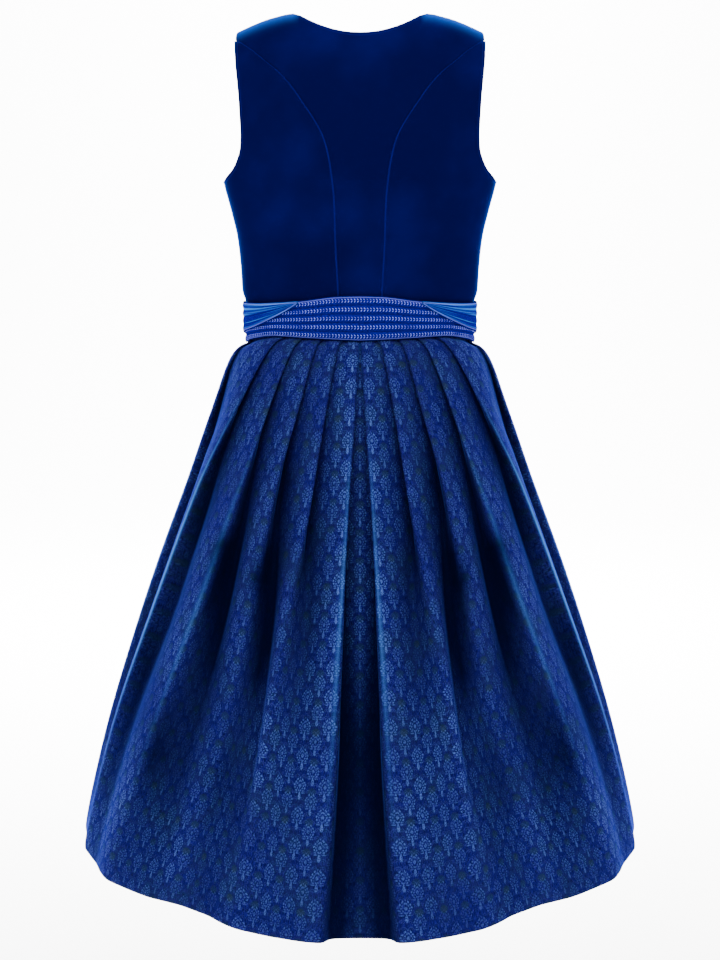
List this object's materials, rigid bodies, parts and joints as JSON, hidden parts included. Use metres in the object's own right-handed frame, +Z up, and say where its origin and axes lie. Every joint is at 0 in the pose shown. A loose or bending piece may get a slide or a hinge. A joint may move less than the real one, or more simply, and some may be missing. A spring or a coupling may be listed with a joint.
{
  "type": "dirndl",
  "caption": "Sleeveless velvet bodice with princess seams, a wrapped waist sash and a full pleated jacquard skirt, in one hollow worn shape.",
  "frame": {"origin": "middle of the line between the two shoulder seams, where the wearer's shoulders hold the dress", "axes": "+X to the wearer's right, +Y out of the dress's front, +Z up; the picture shows the back, which faces -Y"},
  "size_m": [0.715, 0.6962, 1.0534],
  "materials": {
    "velvet": "cotton velvet with a short nap",
    "ribbon": "satin band with rows of herringbone stitching",
    "jacquard": "figured jacquard with a soft sheen"
  },
  "bodies": {
    "root": {"bodice_back": "velvet", "bodice_side_back_left": "velvet", "bodice_side_back_right": "velvet", "bodice_side_front_left": "velvet", "bodice_side_front_right": "velvet", "bodice_front_left": "velvet", "bodice_front_right": "velvet", "sash_back": "ribbon", "sash_left": "ribbon", "sash_right": "ribbon", "skirt_back": "jacquard", "skirt_front": "jacquard"}
  },
  "joints": []
}
